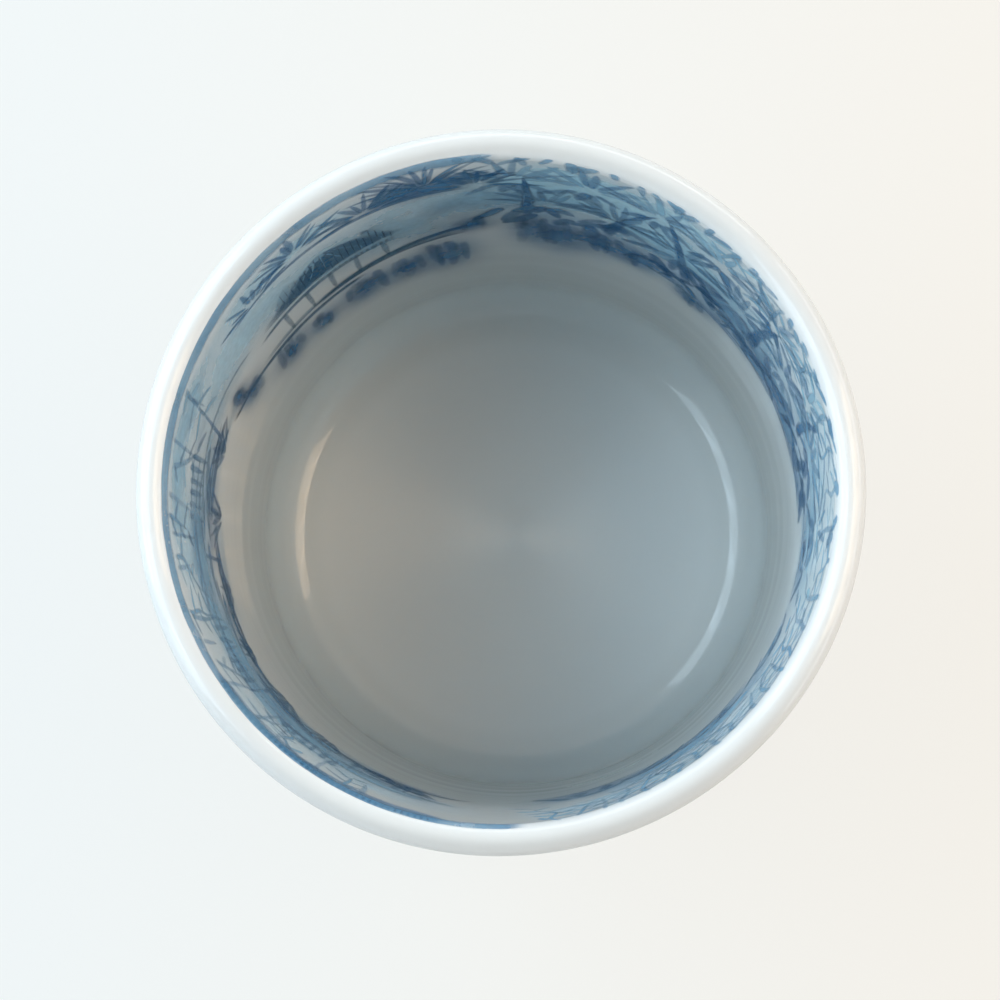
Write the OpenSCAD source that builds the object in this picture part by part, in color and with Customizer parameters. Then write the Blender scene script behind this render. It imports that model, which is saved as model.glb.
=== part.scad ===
// Yunomi: a handleless teacup of white porcelain, painted in cobalt blue inside the mouth.
// The cup stands on its foot ring at z = 0, with its axis along Z, and all sizes are millimetres.
// Sizes are those of the finished, glazed cup, and the clay lies one coat of glaze further in.
// The paint is a thin layer on the glaze, so that it shows and the glaze stays a plain shell.

/* [Cup] */
// Height from the table to the top of the lip
cup_h = 82; // [72:0.5:110]
// Widest outside diameter
belly_d = 80; // [70:0.5:100]
// Distance from the top of the lip down to the widest place
belly_drop = 20; // [8:0.5:40]
// Radius of the gentle curve of the side, seen from the front
side_r = 500; // [300:10:2000]
// Rounding between the side and the underside
hip_r = 12.5; // [9:0.5:16]

/* [Lip, wall and floor] */
// Thickness of the lip, which is fully rounded
lip_w = 3.4; // [2.4:0.1:5]
// Thickness of the wall low down, where it meets the floor's rounded corner
wall_w = 4.2; // [3:0.1:6]
// Thickness of the middle of the floor
floor_w = 5.5; // [4:0.1:9]
// Rounding between the inside of the wall and the floor
corner_r = 6; // [4:0.5:10]
// Radius of the shallow bowl of the floor
bowl_r = 200; // [120:5:600]

/* [Foot ring] */
// Depth of the recess inside the foot ring
foot_h = 5; // [4:0.1:9]
// Outside diameter of the foot ring
foot_d = 50; // [40:0.5:56]
// Width of the foot ring
foot_w = 4.5; // [3:0.1:8]
// Rounding of the two edges that the foot ring stands on
foot_edge_r = 1; // [0.4:0.1:1.4]
// Height of the bare clay left below the glaze
bare_h = 2.2; // [1.5:0.1:3.5]

/* [Glaze and paint] */
// Thickness of the clear glaze
glaze_t = 0.4; // [0.2:0.05:0.8]
// Thickness of the cobalt paint
paint_t = 0.1; // [0.05:0.01:0.15]
// Where the rim line starts, as an angle up the inside of the lip from the level of its middle
rim_line_start_angle = 8; // [0:1:20]
// Where the rim line ends, as an angle up the inside of the lip
rim_line_end_angle = 52; // [40:1:75]

/* [Painted leaves] */
// Azimuth where the leafy bank starts
leaf_start_angle = -78; // [-90:1:-60]
// Azimuth where the leafy bank ends
leaf_end_angle = 92; // [60:1:95]
// Depth of the highest row of leaves below the top of the lip
leaf_depth = 3.4; // [3:0.1:6]
// Width of one leaf dab
leaf_w = 3.4; // [2:0.1:4]
// Height of one leaf dab
leaf_h = 2.6; // [1.5:0.1:4]
// Spacing of the dabs along the wall
leaf_pitch = 6; // [5:0.1:9]
// Number of rows of dabs
leaf_rows = 4; // [2:1:5]
// Spacing of the rows down the wall
leaf_row_pitch = 5.6; // [4.5:0.1:7]

/* [Painted hills and shore] */
// Azimuth of the middle of the large hill
hill_angle = 130; // [120:1:140]
// Width of the large hill
hill_w = 26; // [18:0.5:30]
// Height of the large hill
hill_h = 9; // [6:0.5:12]
// Width of the small hill, beside the large one
small_hill_w = 18; // [10:0.5:24]
// Height of the small hill
small_hill_h = 5.5; // [3:0.5:8]
// Space between the two hills
hill_gap = 1.5; // [0.5:0.5:6]
// Depth of the foot of the hills below the top of the lip
hill_depth = 26; // [22:0.5:34]
// Azimuth where the shore strokes start
shore_start_angle = 104; // [100:1:110]
// Azimuth where the shore strokes end
shore_end_angle = 252; // [230:1:256]
// Distance from the foot of the hills down to the shore
shore_drop = 6; // [2:0.5:10]
// Height of one shore stroke
shore_h = 0.9; // [0.5:0.1:1.5]
// Length of one shore stroke
shore_w = 17; // [10:0.5:20]
// Space between one shore stroke and the next
shore_gap = 4; // [2:0.5:8]
// Width of one reed
reed_w = 1; // [0.6:0.1:1.6]
// Height of one reed
reed_h = 5; // [3:0.1:7]
// Spacing of the reeds along the shore
reed_pitch = 7; // [4:0.5:12]
// Space between the shore and the reeds below it
reed_gap = 0.6; // [0.3:0.1:2]

/* [Hidden] */
$fn = 180;
// Number of straight steps along each round stretch of the cup's outline
arc_steps = 16;
// Angle of the slice of the wall that a hill is cut from, and its height above the hill
hill_slice_angle = 90;
hill_clear = 1;

// Centres of the arcs of the outline, as [distance from the axis, height]
lip_r = lip_w / 2;
lip_z = cup_h - lip_r;
belly_z = cup_h - belly_drop;
side_c = [belly_d / 2 - side_r, belly_z];
lip_c = [side_c.x + sqrt(pow(side_r - lip_r, 2) - pow(lip_z - belly_z, 2)), lip_z];
hip_z = foot_h + hip_r;
hip_c = [side_c.x + sqrt(pow(side_r - hip_r, 2) - pow(hip_z - belly_z, 2)), hip_z];

// The inside of the wall is a straight line that touches the lip and passes through wall_foot
floor_z = foot_h + floor_w;
wall_foot_z = floor_z + corner_r;
wall_foot = [side_c.x + sqrt(pow(side_r, 2) - pow(wall_foot_z - belly_z, 2)) - wall_w, wall_foot_z];
from_foot = lip_c - wall_foot;
wall_tilt = atan2(from_foot.x, from_foot.y) - asin(lip_r / norm(from_foot));

// The corner's arc touches the wall line and the bowl of the floor from inside
bowl_c = [0, floor_z + bowl_r];
wall_at_zero = wall_foot.x - wall_foot.y * tan(wall_tilt) - corner_r / cos(wall_tilt);
corner_a = 1 + pow(tan(wall_tilt), 2);
corner_b = wall_at_zero * tan(wall_tilt) - bowl_c.y;
corner_k = pow(wall_at_zero, 2) + pow(bowl_c.y, 2) - pow(bowl_r - corner_r, 2);
corner_z = (-corner_b - sqrt(pow(corner_b, 2) - corner_a * corner_k)) / corner_a;
corner_c = [wall_at_zero + corner_z * tan(wall_tilt), corner_z];

// Directions, in degrees from the outward radius, where one arc runs into the next
lip_turn = direction(lip_c - side_c);
hip_turn = direction(hip_c - side_c);
bowl_turn = direction(corner_c - bowl_c);

foot_r = foot_d / 2;
foot_in_r = foot_r - foot_w;
mouth_r = lip_c.x - lip_r;
deg_per_mm = 180 / PI / mouth_r;
shore_depth = hill_depth + shore_drop;
small_hill_angle = hill_angle + half_angle(hill_w) + half_angle(small_hill_w) + hill_gap * deg_per_mm;

function direction(v) = atan2(v.y, v.x);
function half_angle(width) = asin(width / 2 / wall_foot.x);
function turned(list) = [for (i = [len(list) - 1:-1:0]) list[i]];
function arc(c, r, from, to) =
    [for (i = [0:arc_steps]) let (a = from + (to - from) * i / arc_steps) c + r * [cos(a), sin(a)]];

// The outside from the top of the lip to the middle of the underside, at a depth below the glazed surface
function outside(depth) = concat(
    arc(lip_c, lip_r - depth, 90, lip_turn),
    arc(side_c, side_r - depth, lip_turn, hip_turn),
    arc(hip_c, hip_r - depth, hip_turn, -90),
    [[0, foot_h + depth]]);

// The inside from the top of the lip to the middle of the floor, at a depth below the glazed surface
function inside(depth) = concat(
    arc(lip_c, lip_r - depth, 90, 180 - wall_tilt),
    arc(corner_c, corner_r + depth, -wall_tilt, bowl_turn),
    arc(bowl_c, bowl_r + depth, bowl_turn, -90));

// Outlines in the plane of the axis

module clay_outline() {
    polygon(concat(inside(glaze_t), turned(outside(glaze_t))));
}

// The outside at a depth below the glazed surface, filled in to the axis
module filled_outline(depth) {
    polygon(concat([[0, cup_h - depth]], turned(outside(depth))));
}

module inner_coat(top, bottom) {
    polygon(concat(inside(top), turned(inside(bottom))));
}

module foot_outline() {
    difference() {
        union() {
            translate([foot_in_r, foot_edge_r]) square([foot_w, hip_c.y - foot_edge_r]);
            translate([foot_in_r + foot_edge_r, 0]) square([foot_w - 2 * foot_edge_r, hip_c.y]);
            for (x = [foot_in_r + foot_edge_r, foot_r - foot_edge_r])
                translate([x, foot_edge_r]) circle(foot_edge_r);
        }
        filled_outline(glaze_t);
    }
}

module paint_strip(depth, height) {
    intersection() {
        inner_coat(-paint_t, 0);
        translate([0, cup_h - depth - height]) square([lip_c.x, height]);
    }
}

module rim_line_outline() {
    reach = 2 * lip_r;
    intersection() {
        inner_coat(-paint_t, 0);
        polygon([lip_c,
                 lip_c + reach * [-cos(rim_line_start_angle), sin(rim_line_start_angle)],
                 lip_c + reach * [-cos(rim_line_end_angle), sin(rim_line_end_angle)]]);
    }
}

// One brush mark on the inside wall, centred on an azimuth, at a depth below the top of the lip
module mark(azimuth, width, depth, height) {
    angle = width * deg_per_mm;
    rotate([0, 0, azimuth - angle / 2])
        rotate_extrude(angle = angle) paint_strip(depth, height);
}

// A round hill, with its foot hill_depth below the top of the lip
module hill(azimuth, width, height) {
    hill_r = (width * width / 4 + height * height) / (2 * height);
    slice_h = height + hill_clear;
    rotate([0, 0, azimuth]) intersection() {
        rotate([0, 0, -hill_slice_angle / 2])
            rotate_extrude(angle = hill_slice_angle) paint_strip(hill_depth - slice_h, slice_h);
        translate([0, 0, cup_h - hill_depth + height - hill_r])
            rotate([0, 90, 0]) cylinder(h = belly_d / 2, r = hill_r);
    }
}

// Clay, parted level with the centre of the corner's arc so that its collision pieces follow the round wall

module wall() {
    color("whitesmoke") rotate_extrude() intersection() {
        clay_outline();
        translate([0, corner_c.y]) square([belly_d, cup_h]);
    }
}

module base() {
    color("whitesmoke") rotate_extrude() intersection() {
        clay_outline();
        square([belly_d, corner_c.y]);
    }
}

module foot_ring() {
    color("linen") rotate_extrude() foot_outline();
}

// Glaze

module inner_glaze() {
    color("white") rotate_extrude() inner_coat(0, glaze_t);
}

module outer_glaze() {
    color("white") rotate_extrude() difference() {
        union() {
            filled_outline(0);
            translate([0, bare_h]) square([foot_r + glaze_t, hip_c.y - bare_h]);
        }
        filled_outline(glaze_t);
        square([foot_r, hip_c.y]);
        translate([0, lip_c.y]) square([lip_c.x, lip_w]);
    }
}

module base_glaze() {
    color("white") rotate_extrude() difference() {
        translate([0, bare_h]) square([foot_in_r, hip_c.y - bare_h]);
        filled_outline(glaze_t);
        square([foot_in_r - glaze_t, foot_h]);
    }
}

// Cobalt paint

module rim_line() {
    color("steelblue") rotate_extrude() rim_line_outline();
}

module leaf_dabs() {
    step = leaf_pitch * deg_per_mm;
    columns = floor((leaf_end_angle - leaf_start_angle) / step);
    color("steelblue") for (row = [0:leaf_rows - 1], column = [0:columns - 1])
        mark(leaf_start_angle + (column + (row % 2 + 1) / 2) * step, leaf_w,
             leaf_depth + row * leaf_row_pitch, leaf_h);
}

module hill_wash() {
    color("slategray") {
        hill(hill_angle, hill_w, hill_h);
        hill(small_hill_angle, small_hill_w, small_hill_h);
    }
}

module shore_strokes() {
    step = (shore_w + shore_gap) * deg_per_mm;
    color("steelblue") for (azimuth = [shore_start_angle + step / 2:step:shore_end_angle - step / 2])
        mark(azimuth, shore_w, shore_depth, shore_h);
}

module reeds() {
    step = reed_pitch * deg_per_mm;
    color("midnightblue") for (azimuth = [shore_start_angle + step / 2:step:shore_end_angle - step / 2])
        mark(azimuth, reed_w, shore_depth + shore_h + reed_gap, reed_h);
}

wall();
base();
foot_ring();
inner_glaze();
outer_glaze();
base_glaze();
rim_line();
leaf_dabs();
hill_wash();
shore_strokes();
reeds();
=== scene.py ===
import math
import random
from collections import namedtuple

import bmesh
import bpy
from mathutils import Matrix, Vector, noise


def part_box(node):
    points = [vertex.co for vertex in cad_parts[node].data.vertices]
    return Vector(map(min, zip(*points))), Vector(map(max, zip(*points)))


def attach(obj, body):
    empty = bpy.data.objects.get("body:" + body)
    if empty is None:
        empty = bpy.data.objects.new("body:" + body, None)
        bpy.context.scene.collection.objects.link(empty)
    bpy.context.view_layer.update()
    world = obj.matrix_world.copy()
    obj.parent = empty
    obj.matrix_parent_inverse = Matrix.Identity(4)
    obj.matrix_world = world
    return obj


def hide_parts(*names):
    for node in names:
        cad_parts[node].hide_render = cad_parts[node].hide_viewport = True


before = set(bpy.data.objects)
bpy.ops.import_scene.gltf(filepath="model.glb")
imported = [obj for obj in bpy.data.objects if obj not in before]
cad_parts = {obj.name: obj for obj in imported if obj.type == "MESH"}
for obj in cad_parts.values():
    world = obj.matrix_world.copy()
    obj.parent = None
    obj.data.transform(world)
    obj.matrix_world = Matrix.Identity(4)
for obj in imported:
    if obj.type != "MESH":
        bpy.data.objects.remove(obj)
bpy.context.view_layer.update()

scene = bpy.context.scene
MM = 0.001

# Sizes of the cup, in metres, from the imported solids
outer_low, outer_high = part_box("outer_glaze")
inner_low, inner_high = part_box("inner_glaze")
foot_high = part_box("foot_ring")[1]
base_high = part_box("base_glaze")[1]
wall_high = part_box("wall")[1]

cup_h = outer_high.z
belly_r = outer_high.x
bare_h = outer_low.z
foot_r = foot_high.x
foot_in_r = base_high.x
glaze_t = cup_h - wall_high.z
foot_h = foot_high.z - glaze_t
floor_z = inner_low.z + glaze_t

# Sizes that the boxes don't give, as the solids have them
lip_r = 1.7 * MM
belly_drop = 20 * MM
side_r = 500 * MM
hip_r = 12.5 * MM
wall_w = 4.2 * MM
corner_r = 6 * MM
bowl_r = 200 * MM
foot_edge_r = 1 * MM

# Sizes that only the finish has
foot_fillet_r = 1 * MM
base_fillet_r = 1.2 * MM
base_rise = 0.35 * MM
clay_gap = 0.02 * MM
paint_film = 0.03 * MM

# Steps in a full turn, and the angles that arcs start and end at
TURNS = 240
DOWN = -math.pi / 2
UP = math.pi / 2
HIP_START = -1.4

# Unevenness of a cup thrown by hand: out of round as shares of the radius, and depths of the dips and rings
OVAL = 0.0011
THREE_SIDED = 0.0006
LIP_DIP = 0.1 * MM
WALL_RING = 0.03 * MM
FLOOR_RING = 0.004 * MM


def share(value):
    return max(0.0, min(1.0, value))


def smooth(value):
    value = share(value)
    return value * value * (3 - 2 * value)


def direction(v):
    return math.atan2(v.y, v.x)


# Centres of the arcs of the outline, as distance from the axis and height
lip_z = cup_h - lip_r
belly_z = cup_h - belly_drop
side_c = Vector((belly_r - side_r, belly_z))
lip_c = Vector((inner_high.x, lip_z))
hip_z = foot_h + hip_r
hip_c = Vector((side_c.x + math.sqrt((side_r - hip_r) ** 2 - (hip_z - belly_z) ** 2), hip_z))

# The inside of the wall is a straight line that touches the lip
wall_foot_z = floor_z + corner_r
wall_foot_r = side_c.x + math.sqrt(side_r ** 2 - (wall_foot_z - belly_z) ** 2) - wall_w
from_foot = lip_c - Vector((wall_foot_r, wall_foot_z))
tilt = math.atan2(from_foot.x, from_foot.y) - math.asin(lip_r / from_foot.length)

# The corner's arc touches the wall line and the bowl of the floor
bowl_c = Vector((0, floor_z + bowl_r))
line_r = wall_foot_r - wall_foot_z * math.tan(tilt) - corner_r / math.cos(tilt)
corner_a = 1 + math.tan(tilt) ** 2
corner_b = line_r * math.tan(tilt) - bowl_c.y
corner_k = line_r ** 2 + bowl_c.y ** 2 - (bowl_r - corner_r) ** 2
corner_z = (-corner_b - math.sqrt(corner_b ** 2 - corner_a * corner_k)) / corner_a
corner_c = Vector((line_r + corner_z * math.tan(tilt), corner_z))

lip_turn = direction(lip_c - side_c)
hip_turn = direction(hip_c - side_c)
bowl_turn = direction(corner_c - bowl_c)

inward = Vector((-math.cos(tilt), math.sin(tilt)))
down_wall = Vector((-math.sin(tilt), -math.cos(tilt)))
wall_top = lip_c + inward * lip_r
lip_length = lip_r * (UP - tilt)
wall_length = (corner_c - inward * corner_r - wall_top).dot(down_wall)


def arc(centre, radius, start, end, steps):
    points = []
    for i in range(steps + 1):
        a = start + (end - start) * i / steps
        points.append(centre + Vector((math.cos(a), math.sin(a))) * radius)
    return points


def line(start, end, steps):
    return [start.lerp(end, i / steps) for i in range(1, steps)]


# Where a point of the perfectly round cup lies on the thrown one
def thrown(r, azimuth, z):
    up = z / cup_h
    out = 1 + up * (OVAL * math.sin(2 * azimuth + 0.7) + THREE_SIDED * math.sin(3 * azimuth + 2.0))
    rise = -LIP_DIP * up ** 3 * (1 + math.sin(2 * azimuth + 1.9)) / 2
    return Vector((r * out * math.cos(azimuth), r * out * math.sin(azimuth), z + rise))


# Soft throwing rings low on the wall and turning rings on the floor, as a lift off the surface
def wall_ring(drop):
    low = share((drop - 0.5 * wall_length) / (0.3 * wall_length))
    wave = noise.noise(Vector((drop / MM * 0.28, 2.0, 0.0)))
    wave += 0.4 * noise.noise(Vector((drop / MM * 0.7, 9.0, 0.0)))
    return WALL_RING * low * wave


def floor_ring(r):
    wave = math.sin(r / MM * 2.1) + 0.7 * math.sin(r / MM * 3.7 + 0.6)
    return FLOOR_RING * wave * min(1.0, r / (2 * MM)) * min(1.0, (corner_c.x - r) / (4 * MM))


# A finished piece from its mesh, with edges sharper than the crease kept sharp
def build(bm, name, crease):
    bmesh.ops.recalc_face_normals(bm, faces=bm.faces)
    limit = math.radians(crease)
    for edge in bm.edges:
        if len(edge.link_faces) == 2 and edge.calc_face_angle(0) > limit:
            edge.smooth = False
    mesh = bpy.data.meshes.new(name)
    bm.to_mesh(mesh)
    bm.free()
    mesh.shade_smooth()
    piece = bpy.data.objects.new(name, mesh)
    scene.collection.objects.link(piece)
    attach(piece, "root")
    return piece


# A closed outline turned round the axis. The marks are values along it that the materials read
def revolve(outline, name, **marks):
    bm = bmesh.new()
    for mark in marks:
        bm.verts.layers.float.new(mark)
    verts = [bm.verts.new((p.x, 0, p.y)) for p in outline]
    for mark, values in marks.items():
        layer = bm.verts.layers.float[mark]
        for v, value in zip(verts, values):
            v[layer] = value
    edges = [bm.edges.new((a, b)) for a, b in zip(verts, verts[1:])]
    if outline[0].x > 1e-9:
        edges.append(bm.edges.new((verts[-1], verts[0])))
    bmesh.ops.spin(bm, geom=verts + edges, cent=(0, 0, 0), axis=(0, 0, 1), angle=2 * math.pi, steps=TURNS,
                   use_merge=True)
    bmesh.ops.remove_doubles(bm, verts=bm.verts, dist=1e-7)
    for v in bm.verts:
        v.co = thrown(math.hypot(v.co.x, v.co.y), math.atan2(v.co.y, v.co.x), v.co.z)
    return build(bm, name, crease=50)


# The glazed skin, in one piece from the middle of the floor over the lip to the foot ring
def glazed_outline():
    floor_arc = []
    for p in arc(bowl_c, bowl_r, DOWN, bowl_turn, steps=90):
        floor_arc.append(p + Vector((0, floor_ring(p.x))))
    corner_arc = arc(corner_c, corner_r, bowl_turn, -tilt, steps=20)[1:]
    wall_line = []
    for p in reversed(line(wall_top, wall_top + down_wall * wall_length, steps=120)):
        drop = (p - wall_top).dot(down_wall)
        edge = min(1.0, (wall_length - drop) / (3 * MM))
        wall_line.append(p + inward * wall_ring(drop) * edge)
    lip_arc = arc(lip_c, lip_r, math.pi - tilt, lip_turn, steps=30)
    side_arc = arc(side_c, side_r, lip_turn, hip_turn, steps=40)[1:]
    fillet_c = Vector((foot_r + glaze_t + foot_fillet_r, foot_h - foot_fillet_r))
    hip_end = -math.acos((fillet_c.x - hip_c.x) / hip_r)
    hip_arc = arc(hip_c, hip_r, hip_turn, hip_end, steps=24)[1:]
    fillet_arc = arc(fillet_c, foot_fillet_r, UP, math.pi, steps=8)
    bead = arc(Vector((foot_r, bare_h + glaze_t)), glaze_t, 0, DOWN, steps=6)
    return floor_arc + corner_arc + wall_line + lip_arc + side_arc + hip_arc + fillet_arc + bead


# The side of the glaze that lies against the clay
def clay_outline(depth):
    points = [Vector((foot_r, foot_h + depth))]
    points += arc(hip_c, hip_r - depth, HIP_START, hip_turn, steps=8)
    points += arc(side_c, side_r - depth, hip_turn, lip_turn, steps=10)[1:]
    points += arc(lip_c, lip_r - depth, lip_turn, math.pi - tilt, steps=10)[1:]
    points += arc(corner_c, corner_r + depth, -tilt, bowl_turn, steps=8)
    points += arc(bowl_c, bowl_r + depth, bowl_turn, DOWN, steps=10)[1:]
    return points


# How much painted shade a point of the skin gets deep inside the cup, how much glaze has pooled there, whose
# lighter tint is painted light in the inside corner, and how much painted light keeps it white on the lip
# and inside
SHADE_START = 20 * MM
SHADE_REACH = 40 * MM
FLOOR_LIFT = 0.35
CORNER_POOL_AND_LIGHT = 5.5 * MM
FOOT_POOL = 2.5 * MM
LIP_LIGHT_REACH = 9 * MM

skin = glazed_outline()
lip_top = max(range(len(skin)), key=lambda i: skin[i].y)
inside_shade_mark = []
pool_mark = []
painted_light_mark = []
for i, p in enumerate(skin):
    below = cup_h - p.y
    if i < lip_top:
        on_floor = smooth((corner_c.x + 1 * MM - p.x) / (3 * MM)) if p.y < corner_c.y else 0.0
        # Painted shade: greyer from 20 mm below the top downwards, a little less on the floor
        inside_shade_mark.append(smooth((below - SHADE_START) / SHADE_REACH) * (1 - FLOOR_LIFT * on_floor))
        # Pooled glaze in the inside corner, its lighter tint painted light in that corner
        pool_mark.append(smooth(1 - abs(p.y - corner_c.y + 3 * MM) / CORNER_POOL_AND_LIGHT))
        # Painted light: the whole inside starts white before the painted shade
        painted_light_mark.append(1.0)
    else:
        inside_shade_mark.append(0.0)
        pool_mark.append(smooth(1 - abs(p.y - foot_h) / FOOT_POOL))
        # Painted light: the outside whiter at the lip, fading to its greyer colour within the reach below
        # the top
        painted_light_mark.append(smooth(1 - below / LIP_LIGHT_REACH))
clay_side = clay_outline(glaze_t - clay_gap)
blank = [0.0] * len(clay_side)
# The marks carry painted shade inside, the pooled tint with painted light in the inside corner, and painted
# light on the lip
glaze_coat = revolve(skin + clay_side, "glaze_coat", inside=inside_shade_mark + blank, pool=pool_mark + blank,
                     thin=painted_light_mark + blank)
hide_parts("inner_glaze", "outer_glaze")


# The bare foot ring, with rounded edges
def foot_outline():
    top = foot_h + glaze_t
    inner_c = Vector((foot_in_r + foot_edge_r, foot_edge_r))
    outer_c = Vector((foot_r - foot_edge_r, foot_edge_r))
    points = [Vector((foot_in_r, top)), Vector((foot_in_r, bare_h))]
    points += arc(inner_c, foot_edge_r, math.pi, 1.5 * math.pi, steps=8)
    points += arc(outer_c, foot_edge_r, DOWN, 0, steps=8)
    points += [Vector((foot_r, bare_h)), Vector((foot_r, top))]
    return points


foot_ring = revolve(foot_outline(), "foot_ring_clay")
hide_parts("foot_ring")


# The glaze under the base, with a rounded corner against the foot ring
def base_outline():
    fillet_at = foot_in_r - glaze_t - base_fillet_r
    points = [Vector((0, foot_h + base_rise))]
    points += line(points[0], Vector((fillet_at, foot_h)), steps=12)
    points += arc(Vector((fillet_at, foot_h - base_fillet_r)), base_fillet_r, UP, 0, steps=8)
    points += arc(Vector((foot_in_r, bare_h + glaze_t)), glaze_t, math.pi, 1.5 * math.pi, steps=6)
    points += [Vector((foot_in_r, foot_h + glaze_t)), Vector((0, foot_h + glaze_t))]
    return points


base_coat = revolve(base_outline(), "base_coat")
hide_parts("base_glaze")


# Brush strokes on the inside wall: azimuth in degrees, and y in mm down the surface from the top of the lip
PAINT_R = 35.4
MM_PER_DEGREE = PAINT_R * math.pi / 180
RIM_TOP = 1.1
RIM_SOFT = 4.0

# How finely strokes and sheets of paint are divided, in mm, and how far each stroke lies over the last
ROW_STEP = 0.7
FEWEST_ROWS = 8
MOST_ROWS = 44
BROAD_STROKE = 3
SHEET_STEP = 0.8
STROKE_LIFT = 0.00003 * MM

# How soft the ends of a stroke are and how much its edges waver, both as shares
SOFT_END = 0.1
EDGE_WAVER = 0.22


def on_wall(x, y, lift):
    azimuth = x / PAINT_R
    if y * MM < lip_length:
        a = UP + y * MM / lip_r
        p = lip_c + Vector((math.cos(a), math.sin(a))) * (lip_r + lift)
    else:
        drop = y * MM - lip_length
        p = wall_top + down_wall * drop + inward * (lift + wall_ring(drop))
    return thrown(p.x, azimuth, p.y)


# Strokes that run up to the rim crowd together under the top of the lip instead of crossing it
def below_rim(y):
    if y > RIM_SOFT:
        return y
    return RIM_TOP + (RIM_SOFT - RIM_TOP) * math.exp((y - RIM_SOFT) / (RIM_SOFT - RIM_TOP))


rng = random.Random(11)


def near(value, spread):
    return value + rng.uniform(-spread, spread)


Wash = namedtuple("Wash", "x y along down length width load tone")


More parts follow.
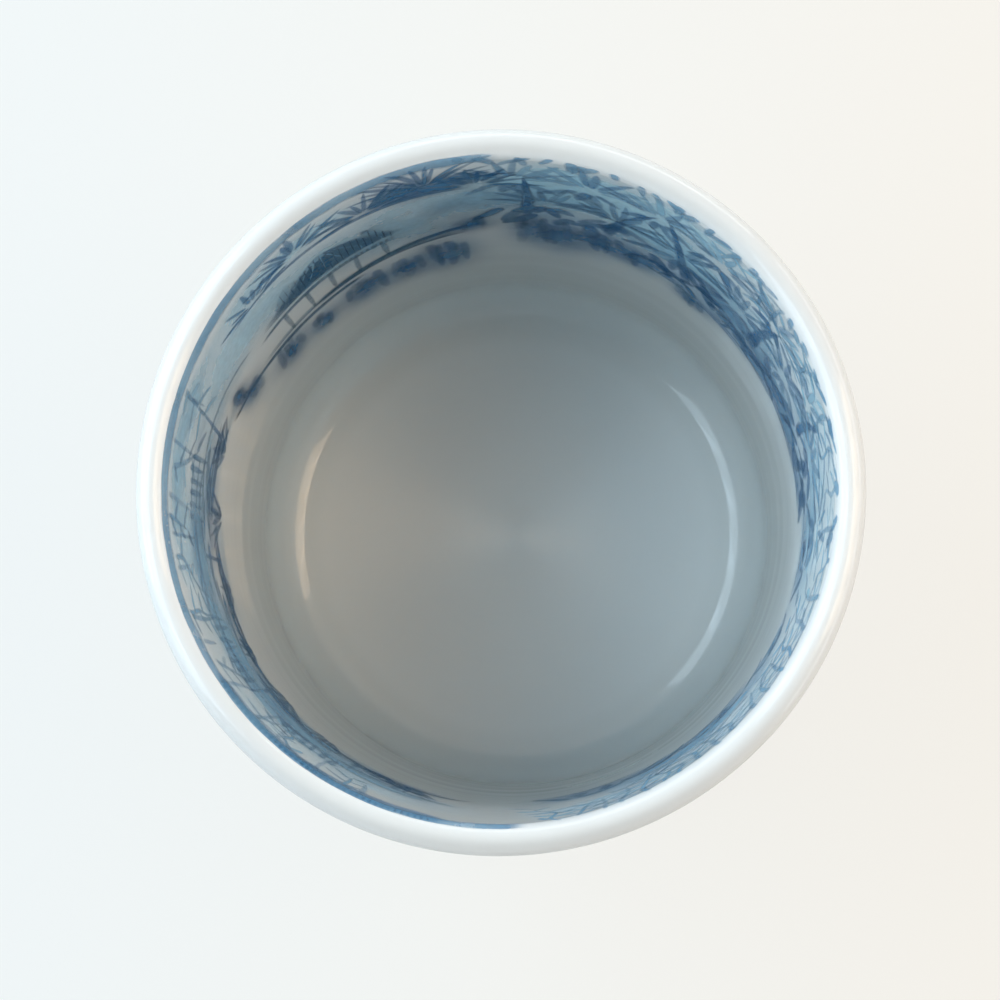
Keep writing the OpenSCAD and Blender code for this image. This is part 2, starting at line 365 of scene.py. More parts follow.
class Paint:
    def __init__(self, lift):
        self.bm = bmesh.new()
        for mark in ("load", "tone", "x", "y"):
            self.bm.verts.layers.float.new(mark)
        self.load, self.tone, self.x, self.y = self.bm.verts.layers.float.values()
        self.lift = lift * MM
        self.sheet_lift = self.lift
        self.washes = []

    # One stroke from its starting point. Heading 0 runs along the rim and 90 straight down, and bend is how
    # far it turns on the way. Head and tail say how blunt its ends are, load how much paint it carries, tone
    # how thin that paint is, fade how much of it runs out, and sway and waves how far and often it swings.
    def stroke(self, azimuth, y, length, width, heading, head, tail, load, tone, bend=0, fade=0.2, sway=0,
               waves=1, phase=0):
        rows = min(MOST_ROWS, max(FEWEST_ROWS, int(length / ROW_STEP)))
        columns = 4 if width < BROAD_STROKE else 8
        seed = rng.uniform(0, 100)
        self.lift += STROKE_LIFT
        peak = head / (head + tail)
        widest = peak ** head * (1 - peak) ** tail
        spine = []
        x = azimuth * MM_PER_DEGREE
        for i in range(rows + 1):
            swing = sway * math.cos(2 * math.pi * waves * i / rows + phase)
            a = math.radians(heading + bend * i / rows + swing)
            spine.append((x, y, a))
            x += math.cos(a) * length / rows
            y += math.sin(a) * length / rows
        grid = bmesh.ops.create_grid(self.bm, x_segments=rows, y_segments=columns, size=1)
        for v in grid["verts"]:
            s = (v.co.x + 1) / 2
            t = v.co.y
            half = width / 2 * max(s, 1e-3) ** head * max(1 - s, 1e-3) ** tail / widest
            half *= 1 + EDGE_WAVER * noise.noise(Vector((s * length * 0.4, seed, 0.7 * t)))
            x, y, a = spine[round(s * rows)]
            x -= math.sin(a) * t * half
            y = below_rim(y + math.cos(a) * t * half)
            cloud = noise.noise(Vector((x * 0.3, y * 0.22, seed)))
            edge = (1 - t ** 4) * (0.9 + 0.25 * t * t) * smooth(min(s, 1 - s) / SOFT_END)
            v[self.load] = share(load * edge * (1 - fade * s + 0.3 * cloud))
            v[self.tone] = share(tone + 0.2 * noise.noise(Vector((x * 0.15, y * 0.15, 3.0))))
            v[self.x] = x
            v[self.y] = y
            v.co = on_wall(x, y, self.lift)
        return [(x / MM_PER_DEGREE, y) for x, y, a in spine]

    # A patch of thinned paint with no edge, centred on a point
    def wash(self, azimuth, y, length, width, load, tone, heading=0):
        a = math.radians(heading)
        x = azimuth * MM_PER_DEGREE
        self.washes.append(Wash(x, y, math.cos(a), math.sin(a), length, width, load, tone))

    # Patches strewn over an area, with a middle and a spread for each of their values
    def scatter(self, count, azimuth, y, length, width, load, tone, turn=0):
        for i in range(count):
            self.wash(near(*azimuth), near(*y), near(*length), near(*width), near(*load), tone,
                      near(0, turn) if turn else 0)

    # All the patches run together in one sheet, so that they never lie over each other
    def lay_washes(self):
        reach = [max(w.length, w.width) for w in self.washes]
        left = min(w.x - r for w, r in zip(self.washes, reach))
        right = max(w.x + r for w, r in zip(self.washes, reach))
        foot = max(w.y + r for w, r in zip(self.washes, reach))
        columns = int((right - left) / SHEET_STEP)
        rows = int((foot - RIM_TOP) / SHEET_STEP)
        verts = bmesh.ops.create_grid(self.bm, x_segments=columns, y_segments=rows, size=1)["verts"]
        for v in verts:
            x = left + (right - left) * (v.co.x + 1) / 2
            y = RIM_TOP + (foot - RIM_TOP) * (v.co.y + 1) / 2
            bare = 1.0
            paint = 1e-9
            thin = 0.0
            for at_x, at_y, along, down, length, width, load, tone in self.washes:
                u = ((x - at_x) * along + (y - at_y) * down) / length
                w = ((y - at_y) * along - (x - at_x) * down) / width
                part = load * math.exp(-6 * (u * u + w * w))
                bare *= 1 - part
                paint += part
                thin += part * tone
            cloud = 1 + 0.3 * noise.noise(Vector((x * 0.25, y * 0.25, 5.0)))
            v[self.load] = max(0.0, (1 - bare) * cloud * smooth((y - RIM_TOP) / 1.2) - 0.01)
            v[self.tone] = share(thin / paint + 0.15 * noise.noise(Vector((x * 0.2, y * 0.2, 8.0))))
            v[self.x] = x
            v[self.y] = y
            v.co = on_wall(x, y, self.sheet_lift)
        faces = {f for v in verts for f in v.link_faces}
        empty = [f for f in faces if max(v[self.load] for v in f.verts) <= 0.0]
        bmesh.ops.delete(self.bm, geom=empty, context="FACES")

    # Needles or leaves that spread from one point
    def spray(self, azimuth, y, reach, count, start, end, width, load, tone):
        for i in range(count):
            turn = near(start + (end - start) * (i + 0.5) / count, 4)
            out = near(1.3, 0.5)
            x = azimuth + out * math.cos(math.radians(turn)) / MM_PER_DEGREE
            self.stroke(x, y + out * math.sin(math.radians(turn)), reach * near(0.8, 0.2),
                        width * near(1, 0.25), turn, bend=near(0, 16), head=0.5, tail=0.7,
                        load=load * near(0.9, 0.15), tone=tone * near(1, 0.6), fade=0.25)

    # A twig with leaves along it, to one side and the other
    def twig(self, azimuth, y, length, heading, leaf, load, tone):
        path = self.stroke(azimuth, y, length, near(0.85, 0.15), heading, bend=near(0, 22), head=0.15,
                           tail=0.5, load=load, tone=tone, fade=0.15, sway=near(0, 20),
                           waves=near(1.5, 0.5), phase=near(0, 3))
        for i, (leaf_azimuth, leaf_y) in enumerate(path[2::3]):
            side = 48 if i % 2 else -48
            self.stroke(leaf_azimuth, leaf_y, near(leaf, 0.25 * leaf), near(1.25, 0.3),
                        heading + near(side, 16), bend=near(0, 30), head=0.5, tail=0.75,
                        load=load * near(0.9, 0.12), tone=tone * near(1.2, 0.7))

    # A smudge of a few short strokes side by side
    def smudge(self, azimuth, y, width, height, load, tone):
        self.wash(azimuth, y + height / 2, height * 1.3, width * 1.7, load, tone, heading=90)
        count = max(2, round(width / 1.1))
        for i in range(count):
            x = azimuth + width * ((i + 0.5) / count - 0.5) / MM_PER_DEGREE
            self.stroke(near(x, 0.3), near(y, 1.5), height * near(0.8, 0.3), near(1.5, 0.5), near(90, 6),
                        head=0.2, tail=0.3, load=load * near(0.4, 0.2), tone=tone * near(1, 0.5), fade=0.3)

    # A rock: a broken outline of three strokes, washes in it, short strokes down its face and a line below
    def rock(self, azimuth, y, width, height, load, tone):
        left = azimuth - width / 2 / MM_PER_DEGREE
        self.wash(azimuth, y - 0.45 * height, width, height * 1.2, load * 0.6, tone + 0.35)
        self.wash(azimuth, y - 0.6, width * 0.9, 2.8, load * 0.8, tone)
        path = self.stroke(left, y, near(1, 0.12) * height, near(1.5, 0.3), near(-60, 12),
                           bend=near(20, 15), head=0.4, tail=0.3, load=load, tone=tone, fade=0.1,
                           sway=near(14, 6), waves=1.3, phase=near(0, 3))
        path = self.stroke(*path[-1], 0.5 * width, near(1.6, 0.4), near(-8, 10),
                           bend=near(40, 15), head=0.35, tail=0.4, load=load, tone=tone, fade=0.1,
                           sway=near(16, 8), waves=1.2, phase=near(0, 3))
        self.stroke(*path[-1], 0.9 * height, near(1.3, 0.3), near(45, 10),
                    bend=near(20, 12), head=0.3, tail=0.8, load=load * 0.9, tone=tone,
                    sway=near(14, 6), waves=1.3, phase=near(0, 3))
        for i in range(5):
            self.stroke(near(azimuth, 0.34 * width), near(y - 0.6 * height, 1.2), height * near(0.4, 0.2),
                        near(1.4, 0.6), near(65, 25), bend=near(0, 30), head=0.4, tail=0.8,
                        load=load * near(0.6, 0.2), tone=tone)
        self.stroke(left, y + 0.6, 1.15 * width, near(0.8, 0.2), near(0, 3), head=0.3, tail=0.5,
                    load=load * 0.6, tone=tone + 0.25)

    # The paint as a closed film that reaches a little into the glaze
    def finish(self, name, slot, *nodes):
        if self.washes:
            self.lay_washes()
        made = bmesh.ops.extrude_face_region(self.bm, geom=self.bm.faces[:], use_keep_orig=True)["geom"]
        for v in made:
            if isinstance(v, bmesh.types.BMVert):
                v.co = on_wall(v[self.x], v[self.y], -paint_film)
        for mark in ("x", "y"):
            self.bm.verts.layers.float.remove(self.bm.verts.layers.float[mark])
        piece = build(self.bm, name, crease=40)
        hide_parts(*nodes)
        return piece


# A line round the lip, broad and dark at the front left and lost in the leaves on the right
rim_paint = Paint(0.02)
for i in range(5):
    rim_paint.stroke(90 + i * 36, near(0.2, 0.3), 41 * MM_PER_DEGREE, near(7, 0.5), near(0, 0.3),
                     head=0.05, tail=0.05, load=near(0.74, 0.05), tone=0.34, fade=0.0)
for i in range(2):
    rim_paint.stroke(213 + i * 20, near(1.8, 0.4), 28 * MM_PER_DEGREE, near(8.5, 1), near(0, 0.5),
                     head=0.15, tail=0.2, load=near(0.75, 0.05), tone=0.16, fade=0.1)
for i in range(34):
    rim_paint.stroke(near(-8 + i * 3.2, 1), near(-0.5, 1), near(5, 1.2), near(1.7, 0.5), near(80, 35),
                     head=0.5, tail=0.6, load=near(0.72, 0.12), tone=0.38)
rim_line = rim_paint.finish("rim_line_paint", "cobalt", "rim_line")

# Trees on the right. Trunks have an azimuth, a top and a foot, and sprays a place, a reach and a count
TRUNKS = ((14, 9, 26), (34, 10, 30), (52, 8, 31), (70, 9, 29), (86, 9, 27))
SPRAYS = (
    (17, 13, 8, 7), (31, 11, 9, 8), (46, 12, 9, 8), (60, 11, 9, 9), (74, 11, 9, 8), (88, 11, 9, 9),
    (24, 21, 9, 7), (40, 22, 9, 8), (54, 22, 9, 8), (68, 21, 9, 8), (82, 21, 8, 8), (8, 20, 8, 7),
    (-6, 16, 8, 6),
)

# Rocks under the trees, and smudges between them, with a place, a width and a height
ROCKS = (
    (-74, 34, 14, 9), (-60, 31, 9, 5), (-47, 30, 12, 8), (-28, 27, 8, 4), (-10, 27, 11, 6),
    (6, 33, 8, 8), (17, 34, 12, 9), (31, 35, 10, 6), (42, 36, 11, 9), (55, 35, 8, 6),
)
BANK_SMUDGES = ((50, 35, 4, 5), (63, 31, 4, 7), (71, 30, 6, 9), (79, 29, 4, 13), (85, 28, 4, 12))

leaf_paint = Paint(0.02)
leaf_paint.scatter(44, (8, 88), (10, 8), (15, 4), (8, 3), load=(0.12, 0.06), tone=1.0, turn=25)
leaf_paint.scatter(40, (40, 54), (23, 5), (13, 4), (6, 2), load=(0.24, 0.1), tone=0.6, turn=12)
leaf_paint.scatter(18, (36, 34), (29, 4), (9, 3), (4, 1), load=(0.42, 0.12), tone=0.1, turn=12)
leaf_paint.scatter(12, (-52, 28), (25, 5), (11, 3), (6, 2), load=(0.34, 0.1), tone=0.5, turn=15)
leaf_paint.scatter(14, (72, 20), (13, 8), (13, 4), (7, 2), load=(0.5, 0.1), tone=1.0, turn=15)
for i in range(15):
    leaf_paint.twig(near(-80 + i * 3.9, 0.8), near(0.5, 0.6), near(19, 4), near(90, 6), leaf=4.2,
                    load=near(0.74, 0.1), tone=0.4)
for i in range(11):
    leaf_paint.twig(near(-20 + i * 6.4, 1), near(0.5, 0.6), near(13, 3), near(90, 14), leaf=4,
                    load=near(0.7, 0.1), tone=0.52)
for azimuth, top, foot in TRUNKS:
    leaf_paint.stroke(azimuth, foot, foot - top, near(2, 0.3), near(-90, 8), bend=near(0, 25),
                      head=0.15, tail=0.6, load=0.85, tone=0.05)
for azimuth, y, reach, count in SPRAYS:
    leaf_paint.spray(azimuth, y, reach, count, start=185, end=355, width=1.4, load=near(0.76, 0.1),
                     tone=0.48 - 0.02 * (y - 11))
    leaf_paint.spray(azimuth, y, reach * 0.75, 4, start=30, end=150, width=1.9, load=near(0.75, 0.12),
                     tone=0.2)
for i in range(24):
    leaf_paint.stroke(near(-4 + i * 4.1, 2), near(26, 4), near(6, 2), near(2.4, 0.7), near(70, 50),
                      bend=near(0, 30), head=0.5, tail=0.6, load=near(0.72, 0.12), tone=0.1)
for azimuth, y, width, height in ROCKS:
    leaf_paint.rock(azimuth, y, width, height, load=near(0.8, 0.08), tone=0.08)
for azimuth, y, width, height in BANK_SMUDGES:
    leaf_paint.smudge(azimuth, y, width, height, load=0.75, tone=0.1)
leaves = leaf_paint.finish("leaf_paint", "cobalt", "leaf_dabs")

# A thatched roof on posts, and low hills, which have an azimuth, a foot, a length and a height
HILLS = ((148, 24, 22, 5), (170, 22, 17, 4), (196, 20, 20, 5), (226, 21, 18, 4))

hill_paint = Paint(0.025)
hill_paint.scatter(26, (170, 82), (17, 11), (20, 5), (8, 2), load=(0.3, 0.08), tone=0.9)
hill_paint.scatter(9, (174, 12), (9, 4), (11, 3), (8, 2), load=(0.34, 0.08), tone=0.7)
hill_paint.scatter(10, (108, 22), (23, 6), (18, 4), (8, 2), load=(0.4, 0.08), tone=0.55)
hill_paint.stroke(127, 16.5, 9, 20, 90, head=0.9, tail=0.08, load=0.85, tone=0.0, fade=0.0)
for i in range(15):
    hill_paint.stroke(near(117 + i * 1.35, 0.4), near(18.5, 1), near(6.5, 1), near(1.3, 0.3),
                      near(90, 2) + (7 - i) * 3.4, head=0.4, tail=0.4, load=near(0.65, 0.15), tone=0.0)
hill_paint.stroke(111, 26.8, 22, 1.7, 0, head=0.1, tail=0.2, load=0.75, tone=0.12, fade=0.1)
for azimuth in (115, 121, 127, 133, 139):
    hill_paint.stroke(azimuth, 26.5, near(8, 1), 0.9, near(90, 3), head=0.15, tail=0.3,
                      load=near(0.65, 0.1), tone=0.2)
for azimuth, y, length, height in HILLS:
    hill_paint.wash(azimuth + length / 2 / MM_PER_DEGREE, y - 1, length, height * 1.6, load=0.45, tone=0.55)
    hill_paint.stroke(azimuth, y, length * 1.1, 1.2, -24, bend=48, head=0.3, tail=0.5,
                      load=near(0.55, 0.1), tone=0.3)
hills = hill_paint.finish("hill_paint", "cobalt_wash", "hill_wash")

# The shore in long strokes, then boats, with a place and a length, fences of posts, and thin trunks
BOATS = ((162, 27, 13), (186, 30, 15), (214, 26, 14), (236, 29, 12))
FENCES = ((172, 6), (202, 7), (226, 6))
POST_STEP = 2.2

shore_paint = Paint(0.03)
for i in range(3):
    shore_paint.stroke(near(95, 1), near(30, 0.5), 24, near(1.5, 0.4), near(18, 2), bend=-14,
                       head=0.2, tail=0.3, load=near(0.55, 0.1), tone=0.25)
    shore_paint.stroke(near(121, 1), near(36.5, 0.5), 26, near(1.4, 0.4), near(3, 2), bend=-28,
                       head=0.2, tail=0.4, load=near(0.5, 0.1), tone=0.3)
    shore_paint.stroke(near(99, 2), near(33, 1), 32, near(1.2, 0.4), near(9, 2), bend=-16,
                       head=0.2, tail=0.4, load=near(0.35, 0.1), tone=0.4)
for azimuth, y, length in BOATS:
    shore_paint.stroke(azimuth, y, length, 2.2, 16, bend=-32, head=0.35, tail=0.35, load=0.8, tone=0.08)
    shore_paint.stroke(azimuth + 1, y - 1.4, length * 0.9, 0.8, 14, bend=-28, head=0.2, tail=0.3,
                       load=0.7, tone=0.2)
    shore_paint.stroke(azimuth + 4, y + 1, near(13, 3), 0.7, near(-92, 4), head=0.15, tail=0.5,
                       load=0.65, tone=0.2)
    shore_paint.wash(azimuth + 5, y + 3, length, 4, load=0.35, tone=0.6)
for azimuth, count in FENCES:
    for i in range(count):
        shore_paint.stroke(azimuth + i * POST_STEP, near(14, 0.6), near(8, 1), near(0.8, 0.2), near(90, 4),
                           head=0.2, tail=0.5, load=0.6, tone=0.3)
    for y in (15.5, 18.5):
        shore_paint.stroke(azimuth - 1, y, (count + 0.5) * POST_STEP * MM_PER_DEGREE, 0.7, near(0, 3),
                           head=0.2, tail=0.3, load=0.55, tone=0.3)
for i in range(12):
    shore_paint.stroke(near(164 + i * 7.4, 2.5), near(3.4, 0.6), near(12, 5), near(0.8, 0.25), near(90, 5),
                       bend=near(0, 12), head=0.2, tail=0.6, load=near(0.5, 0.15), tone=0.35)
for i in range(34):
    shore_paint.stroke(near(163 + i * 2.7, 1.5), near(24, 7), near(7, 3), near(1.5, 0.6), near(8, 28),
                       bend=near(0, 24), head=0.3, tail=0.7, load=near(0.62, 0.15), tone=0.25)
shore_paint.scatter(22, (208, 46), (22, 6), (13, 4), (7, 2), load=(0.33, 0.12), tone=0.45, turn=14)
shore_paint.scatter(10, (212, 40), (28, 3), (9, 3), (3.5, 1), load=(0.5, 0.1), tone=0.05, turn=8)
for i in range(9):
    shore_paint.twig(near(164 + i * 9.6, 2), near(3.5, 1), near(12, 3), near(90, 12), leaf=3.6,
                     load=near(0.62, 0.1), tone=0.4)
shore = shore_paint.finish("shore_paint", "cobalt", "shore_strokes")

# Posts in the water under the shore, a dark pine over the roof, and tufts of reeds
WATER_POSTS = (
    (97, 28, 3, 5), (103, 37, 5, 12), (112, 39, 4, 9), (122, 38, 5, 10), (133, 40, 3, 7),
    (142, 37, 4, 9), (154, 32, 3, 7), (157, 27, 2, 6),
)
PINE_SPRAYS = ((104, 10, 10, 18), (116, 12, 8, 12), (95, 13, 7, 10), (131, 10, 8, 12), (142, 12, 6, 8))
REED_TUFTS = ((168, 33), (181, 35), (196, 35), (209, 33), (221, 34), (232, 34), (245, 33), (251, 31))

reed_paint = Paint(0.035)
for azimuth, y, width, height in WATER_POSTS:
    reed_paint.smudge(azimuth, y, width, height, load=0.8, tone=0.08)
for azimuth, y, reach, count in PINE_SPRAYS:
    reed_paint.spray(azimuth, y, reach, count, start=180, end=360, width=1.0, load=0.82, tone=0.12)
reed_paint.scatter(7, (105, 6), (10.5, 1.5), (7, 2), (4, 1), load=(0.5, 0.1), tone=0.05, turn=20)
reed_paint.stroke(96, 13.5, 34, 1.5, -8, bend=12, head=0.3, tail=0.6, load=0.75, tone=0.1)
for azimuth, y in REED_TUFTS:
    reed_paint.spray(azimuth, y, near(8, 1), 7, start=238, end=302, width=0.9, load=near(0.7, 0.1),
                     tone=0.15)
reeds = reed_paint.finish("reed_paint", "cobalt", "reeds")


# Materials
def colour(code):
    parts = [int(code[i:i + 2], 16) / 255 for i in (1, 3, 5)]
    return tuple(c / 12.92 if c <= 0.04045 else ((c + 0.055) / 1.055) ** 2.4 for c in parts) + (1,)


WHITE = (1, 1, 1, 1)


def put(tree, node, inputs):
    for key, value in inputs.items():
        if isinstance(value, bpy.types.NodeSocket):
            tree.links.new(value, node.inputs[key])
        else:
            node.inputs[key].default_value = value


def add(tree, kind, inputs=None, **settings):
    node = tree.nodes.new(kind)
    for key, value in settings.items():
        setattr(node, key, value)
    put(tree, node, inputs or {})
    return node


def material(name):
    made = bpy.data.materials.new(name)
    made.use_nodes = True
    return made, made.node_tree, made.node_tree.nodes["Principled BSDF"]


# 1 for rays from the camera and through glass, shine for those in reflections, and 0 for the object's light
def seen(tree, shine):
    path = add(tree, "ShaderNodeLightPath").outputs
    gloss = add(tree, "ShaderNodeMath", {0: path["Is Glossy Ray"], 1: shine}, operation="MULTIPLY")
    part = add(tree, "ShaderNodeMath", {0: path["Is Camera Ray"], 1: gloss.outputs[0]}, operation="MAXIMUM")
    whole = add(tree, "ShaderNodeMath", {0: part.outputs[0], 1: path["Is Transmission Ray"]},
                operation="MAXIMUM")
    return whole.outputs[0]


# Clear glaze over white porcelain: a soft sheen drawn out round the cup under a sharp gloss, painted light
# that keeps it white on the lip and high inside, painted shade that greys it deep inside, and a faint blue
# where it pools, lighter as painted light in the corner
def glaze_material():
    made, tree, shader = material("clear glaze on porcelain")
    place = add(tree, "ShaderNodeTexCoord").outputs["Object"]
    inside = add(tree, "ShaderNodeAttribute", attribute_name="inside")
    pool = add(tree, "ShaderNodeAttribute", attribute_name="pool")
    patch = add(tree, "ShaderNodeTexNoise", {"Vector": place, "Scale": 1 / (16 * MM), "Detail": 3.0})
    # Painted light: white on the lip and inside, the outside greyer below the lip
    thin = add(tree, "ShaderNodeAttribute", attribute_name="thin")
    side_colour = add(tree, "ShaderNodeMix", {
        "Factor": patch.outputs["Fac"], "A": colour("#DAE1E2"), "B": colour("#E1E6E5"),
    }, data_type="RGBA")
    white = add(tree, "ShaderNodeMix", {
        "Factor": thin.outputs["Fac"], "A": side_colour.outputs["Result"], "B": colour("#F6F8F7"),
    }, data_type="RGBA")
    # Painted shade: the grey the inside turns to deep down
    grey = add(tree, "ShaderNodeMix", {
        "Factor": patch.outputs["Fac"], "A": colour("#D8DDDB"), "B": colour("#DEE0DC"),
    }, data_type="RGBA")
    body = add(tree, "ShaderNodeMix", {
        "Factor": inside.outputs["Fac"], "A": white.outputs["Result"], "B": grey.outputs["Result"],
    }, data_type="RGBA")
    # Pooled tint, faintly blue and lighter than the glaze beside it; in the inside corner the lightness is
    # painted light
    pool_part = add(tree, "ShaderNodeMath", {0: pool.outputs["Fac"], 1: 0.9}, operation="MULTIPLY")
    pooled = add(tree, "ShaderNodeMix", {
        "Factor": pool_part.outputs[0], "A": body.outputs["Result"], "B": colour("#E8F0F1"),
    }, data_type="RGBA")
    ring = add(tree, "ShaderNodeTangent", direction_type="RADIAL", axis="Z")
    peel = add(tree, "ShaderNodeTexNoise", {"Vector": place, "Scale": 1 / (3.5 * MM), "Detail": 1.0})
    ripple = add(tree, "ShaderNodeBump", {
        "Height": peel.outputs["Fac"], "Distance": 0.02 * MM, "Strength": 0.5,
    })
    put(tree, shader, {
        "Base Color": pooled.outputs["Result"], "Roughness": 0.45, "IOR": 2.0,
        "Anisotropic": 0.88, "Anisotropic Rotation": 0.25, "Tangent": ring.outputs["Tangent"],
        "Coat Weight": 1.0, "Coat Roughness": 0.04, "Coat IOR": 1.5, "Coat Normal": ripple.outputs["Normal"],
    })
    return made


# Cobalt paint: the load it was laid on with shows as how far it covers the glaze, broken by a fine grain
def paint_material(name, dark, pale):
    made, tree, shader = material(name)
    place = add(tree, "ShaderNodeTexCoord").outputs["Object"]
    load = add(tree, "ShaderNodeAttribute", attribute_name="load")
    tone = add(tree, "ShaderNodeAttribute", attribute_name="tone")
    grain = add(tree, "ShaderNodeTexNoise", {"Vector": place, "Scale": 1 / (0.9 * MM), "Detail": 3.0})
    level = add(tree, "ShaderNodeMapRange", {
        "Value": grain.outputs["Fac"], "From Min": 0.3, "From Max": 0.7, "To Min": 0.8, "To Max": 1.0,
    })
    cover = add(tree, "ShaderNodeMath", {0: load.outputs["Fac"], 1: level.outputs["Result"]},
                operation="MULTIPLY")
    tint = add(tree, "ShaderNodeMix", {
        "Factor": tone.outputs["Fac"], "A": colour(dark), "B": colour(pale),
    }, data_type="RGBA")
    put(tree, shader, {
        "Base Color": tint.outputs["Result"], "Alpha": cover.outputs["Value"], "Roughness": 0.5,
        "Specular IOR Level": 0.0, "Coat Weight": 0.4, "Coat Roughness": 0.05, "Coat IOR": 1.5,
    })
    return made


# Bare fired clay: dull, warm and a little sandy
def foot_material():
    made, tree, shader = material("bare fired porcelain clay")
    place = add(tree, "ShaderNodeTexCoord").outputs["Object"]
    sand = add(tree, "ShaderNodeTexNoise", {"Vector": place, "Scale": 1 / (1.1 * MM), "Detail": 4.0})
    tint = add(tree, "ShaderNodeMix", {
        "Factor": sand.outputs["Fac"], "A": colour("#CFC0AA"), "B": colour("#EAE1D2"),
    }, data_type="RGBA")
    bump = add(tree, "ShaderNodeBump", {
        "Height": sand.outputs["Fac"], "Distance": 0.08 * MM, "Strength": 0.6,
    })
    put(tree, shader, {
        "Base Color": tint.outputs["Result"], "Roughness": 0.85, "Normal": bump.outputs["Normal"],
    })
    return made


glaze = glaze_material()
cobalt = paint_material("cobalt blue brushwork", "#1B70A6", "#BFEDFF")
thin_cobalt = paint_material("thinned cobalt wash", "#1B6189", "#BEE9FD")
clay = foot_material()


def dress(piece, made):
    piece.data.materials.clear()
    piece.data.materials.append(made)


for piece in (glaze_coat, base_coat):
    dress(piece, glaze)
for piece in (rim_line, leaves, shore, reeds):
    dress(piece, cobalt)
dress(hills, thin_cobalt)
dress(foot_ring, clay)
for node in ("wall", "base"):
    dress(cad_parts[node], clay)

# A floor a hair below the foot
FLOOR_SIZE = 4
FLOOR_DROP = 0.05 * MM

bm = bmesh.new()
bmesh.ops.create_grid(bm, x_segments=1, y_segments=1, size=FLOOR_SIZE,
                      matrix=Matrix.Translation((0, 0, -FLOOR_DROP)))
floor_mesh = bpy.data.meshes.new("floor")
bm.to_mesh(floor_mesh)
bm.free()
floor = bpy.data.objects.new("floor", floor_mesh)
scene.collection.objects.link(floor)


# Pale paper: mostly white to the camera, with a painted cool tint on the left and warm tint on the right for
# the soft boxes' light, and the cup's shadow in the rest. Its own grey throws little light back on the cup,
# and from below it is clear
def floor_material():
    made, tree, shader = material("pale paper floor")
    put(tree, shader, {"Base Color": colour("#DADAD8"), "Roughness": 0.9})
    place = add(tree, "ShaderNodeTexCoord").outputs["Object"]
    side = add(tree, "ShaderNodeSeparateXYZ", {0: place})
    # Painted light: the tint that stands in for the cool lamp on the left and the warm one on the right
    warm = add(tree, "ShaderNodeMapRange", {
        "Value": side.outputs["X"], "From Min": -0.07, "From Max": 0.09,
    })
    tint = add(tree, "ShaderNodeMix", {
        "Factor": warm.outputs["Result"], "A": colour("#F8FEFF"), "B": colour("#FFFAF1"),
    }, data_type="RGBA")
    far = add(tree, "ShaderNodeVectorMath", {0: place}, operation="LENGTH")
    level = add(tree, "ShaderNodeMapRange", {
        "Value": far.outputs["Value"], "From Min": 0.1, "From Max": 0.7, "To Min": 0.82, "To Max": 1.0,
    })
    fade = add(tree, "ShaderNodeMapRange", {
        "Value": far.outputs["Value"], "From Min": 0.15, "From Max": 0.6,
    })
    light = add(tree, "ShaderNodeMix", {
        "Factor": fade.outputs["Result"], "A": tint.outputs["Result"], "B": WHITE,
    }, data_type="RGBA")
    white = add(tree, "ShaderNodeEmission", {"Color": light.outputs["Result"], "Strength": 1.0})
    part = add(tree, "ShaderNodeMath", {0: seen(tree, 0.7), 1: level.outputs["Result"]},
               operation="MULTIPLY")
    top = add(tree, "ShaderNodeMixShader", {0: part.outputs[0], 1: shader.outputs[0], 2: white.outputs[0]})
    below = add(tree, "ShaderNodeNewGeometry").outputs["Backfacing"]
    clear = add(tree, "ShaderNodeBsdfTransparent")
    sheet = add(tree, "ShaderNodeMixShader", {0: below, 1: top.outputs[0], 2: clear.outputs[0]})
    put(tree, tree.nodes["Material Output"], {"Surface": sheet.outputs[0]})
    return made


dress(floor, floor_material())

LAMP_AIM = Vector((0, 0, 40 * MM))
PANELS = 5


# A soft box of flat panels curved round the cup, with its height and distance in metres
def soft_box(name, azimuth, elevation, spread, height, brightness, code, distance=0.6):
    e = math.radians(elevation)
    step = math.radians(spread) / PANELS
    width = 2 * distance * math.cos(e) * math.tan(step / 2)
    for i in range(PANELS):
        lamp = bpy.data.lights.new(name, "AREA")
        lamp.shape = "RECTANGLE"
        lamp.size = width
        lamp.size_y = height
        lamp.energy = math.pi * width * height * brightness
        lamp.color = colour(code)[:3]
        holder = bpy.data.objects.new(name, lamp)
        a = math.radians(azimuth) + step * (i - (PANELS - 1) / 2)
        along = Vector((-math.sin(a), math.cos(a), 0))
        aim = Vector((math.cos(a) * math.cos(e), math.sin(a) * math.cos(e), math.sin(e)))
        turn = Matrix((along, aim.cross(along), aim)).transposed().to_4x4()
        holder.matrix_world = Matrix.Translation(LAMP_AIM + aim * distance) @ turn
        scene.collection.objects.link(holder)


# Light: a warm soft box on the right, a cool wider one on the left, and low windows behind and on the right
soft_box("warm soft box", 3, 54, spread=44, height=0.38, brightness=2.85, code="#FFE0BA")
soft_box("cool soft box", 172, 48, spread=76, height=0.46, brightness=2.7, code="#D0E9F8")
soft_box("window", 120, 24, spread=140, height=0.13, brightness=4.2, code="#EEF6FB", distance=0.8)
soft_box("side window", 5, 24, spread=80, height=0.13, brightness=3.0, code="#F2F8FC", distance=0.8)

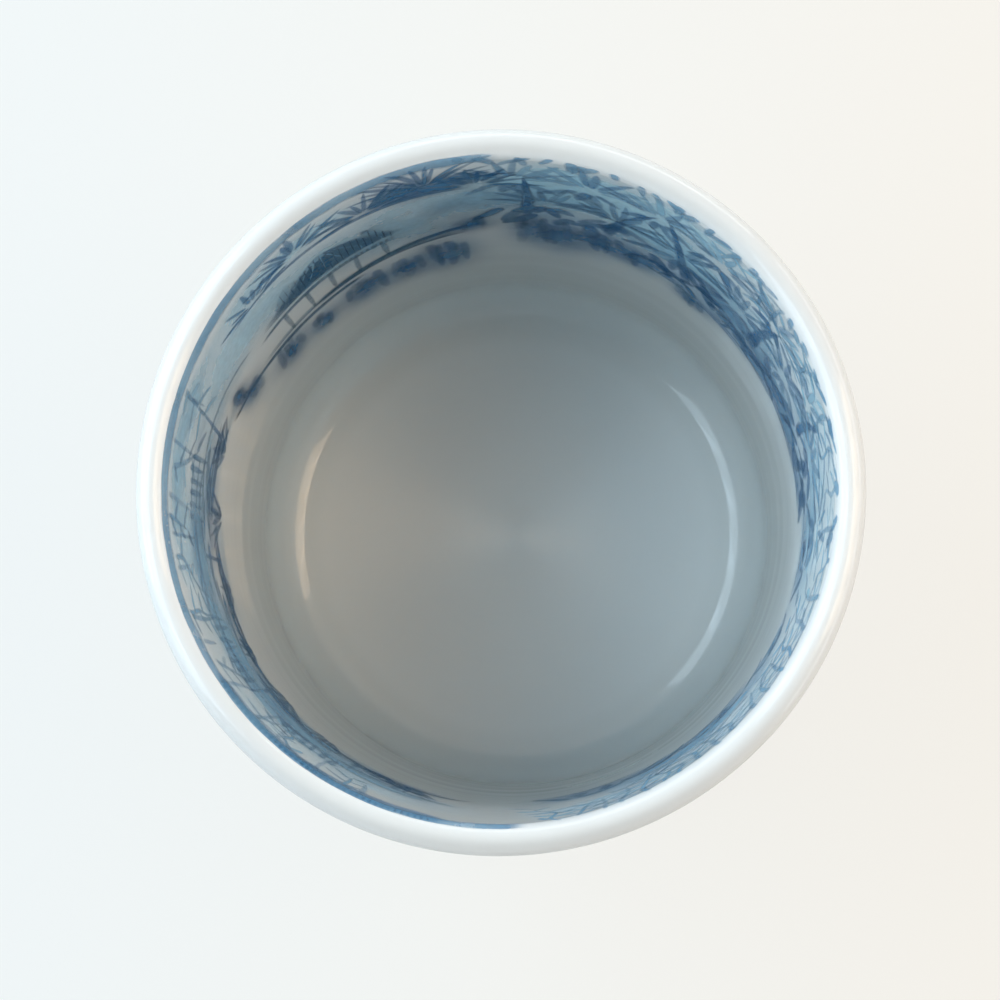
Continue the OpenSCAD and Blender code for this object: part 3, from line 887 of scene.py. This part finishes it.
# The sky lights the cup from low down, most of all from the front. It is white to the camera and in
# reflections, but for a dark ceiling overhead
world = bpy.data.worlds.new("studio")
scene.world = world
world.use_nodes = True
sky_tree = world.node_tree
sky_light = sky_tree.nodes["Background"]
sky_place = add(sky_tree, "ShaderNodeTexCoord").outputs["Generated"]
sky_up = add(sky_tree, "ShaderNodeSeparateXYZ", {0: sky_place})
sky_level = add(sky_tree, "ShaderNodeMapRange", {
    "Value": sky_up.outputs["Z"], "From Min": 0.1, "From Max": 0.7, "To Min": 1.05, "To Max": 0.05,
})
sky_side = add(sky_tree, "ShaderNodeMapRange", {
    "Value": sky_up.outputs["Y"], "From Min": -1.0, "From Max": 1.0, "To Min": 1.05, "To Max": 0.6,
})
sky_power = add(sky_tree, "ShaderNodeMath", {0: sky_level.outputs["Result"], 1: sky_side.outputs["Result"]},
                operation="MULTIPLY")
put(sky_tree, sky_light, {"Color": colour("#F2F5F6"), "Strength": sky_power.outputs[0]})
sky_white = add(sky_tree, "ShaderNodeBackground", {"Color": WHITE, "Strength": 1.0})
sky_front = add(sky_tree, "ShaderNodeMath", {0: sky_up.outputs["Z"], 1: sky_up.outputs["Y"]},
                operation="SUBTRACT")
sky_shine = add(sky_tree, "ShaderNodeMapRange", {
    "Value": sky_front.outputs[0], "From Min": 0.7, "From Max": 1.3, "To Min": 0.75, "To Max": 0.1,
})
sky_mix = add(sky_tree, "ShaderNodeMixShader", {
    0: seen(sky_tree, sky_shine.outputs["Result"]), 1: sky_light.outputs[0], 2: sky_white.outputs[0],
})
put(sky_tree, sky_tree.nodes["World Output"], {"Surface": sky_mix.outputs[0]})

# Camera above the cup, as in the photograph
camera_data = bpy.data.cameras.new("camera")
camera_data.lens = 85.6
camera_data.sensor_width = 36
camera = bpy.data.objects.new("camera", camera_data)
scene.collection.objects.link(camera)
eye = Vector((0.0090, -0.0244, 0.3373))
target = Vector((0.0001, -0.0013, 0.0803))
back = (eye - target).normalized()
right = Vector((0, 1, 0)).cross(back).normalized()
above = back.cross(right)
camera.matrix_world = Matrix.Translation(eye) @ Matrix((right, above, back)).transposed().to_4x4()
scene.camera = camera
scene.view_settings.view_transform = "Standard"
